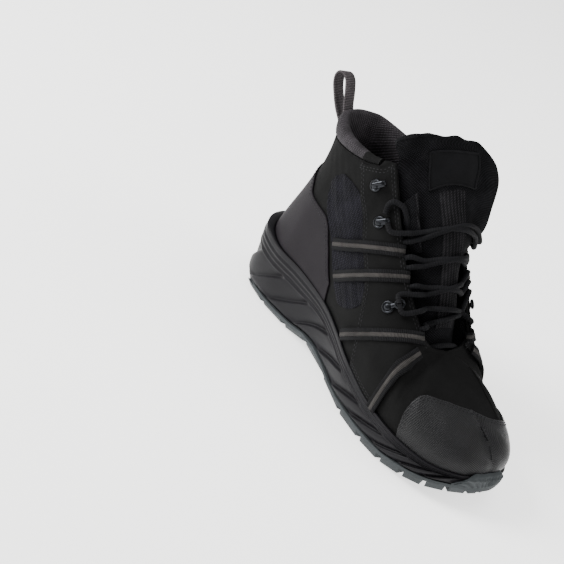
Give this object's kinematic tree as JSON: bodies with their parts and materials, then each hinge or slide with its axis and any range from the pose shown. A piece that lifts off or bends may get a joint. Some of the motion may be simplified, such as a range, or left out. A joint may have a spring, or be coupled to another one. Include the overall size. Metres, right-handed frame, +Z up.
{
  "type": "mid-height walking boot",
  "caption": "Laced ankle-high walking boot with a hollow upper, padded collar and tongue, webbing lace loops and a lugged sole.",
  "frame": {"origin": "on the floor under the flat tread of the heel, on the middle line of the heel", "axes": "+X to the toe, +Y to the outer side of this left boot, +Z up"},
  "size_m": [0.3046, 0.1089, 0.2035],
  "materials": {
    "rubber": "matte grey-green rubber",
    "foam": "satin dark foam",
    "lining": "dark knitted lining",
    "nubuck": "black nubuck",
    "mesh": "charcoal woven mesh",
    "counter": "smooth charcoal moulding",
    "cap": "fine diagonal weave",
    "webbing": "ribbed webbing",
    "lace": "round woven lace",
    "gunmetal": "gunmetal plating"
  },
  "bodies": {
    "root": {"outsole": "rubber", "midsole": "foam", "insole": "lining", "upper": "nubuck", "collar": "mesh", "heel_counter": "counter", "toe_cap": "cap", "facing_inner": "nubuck", "facing_outer": "nubuck", "tongue": "mesh", "pull_loop": "webbing", "lace_bar": "lace", "lace_cross_1": "lace", "lace_cross_2": "lace", "lace_cross_3": "lace", "lace_cross_4": "lace", "lace_end": "lace", "hook_upper_inner": "gunmetal", "hook_upper_outer": "gunmetal", "hook_lower_inner": "gunmetal", "hook_lower_outer": "gunmetal", "ring_inner": "gunmetal", "ring_outer": "gunmetal", "strip_ankle_inner": "webbing", "strip_ankle_outer": "webbing", "strip_instep_inner": "webbing", "strip_instep_outer": "webbing", "strip_waist_inner": "webbing", "strip_waist_outer": "webbing", "strip_ball_inner": "webbing", "strip_ball_outer": "webbing"}
  },
  "joints": []
}
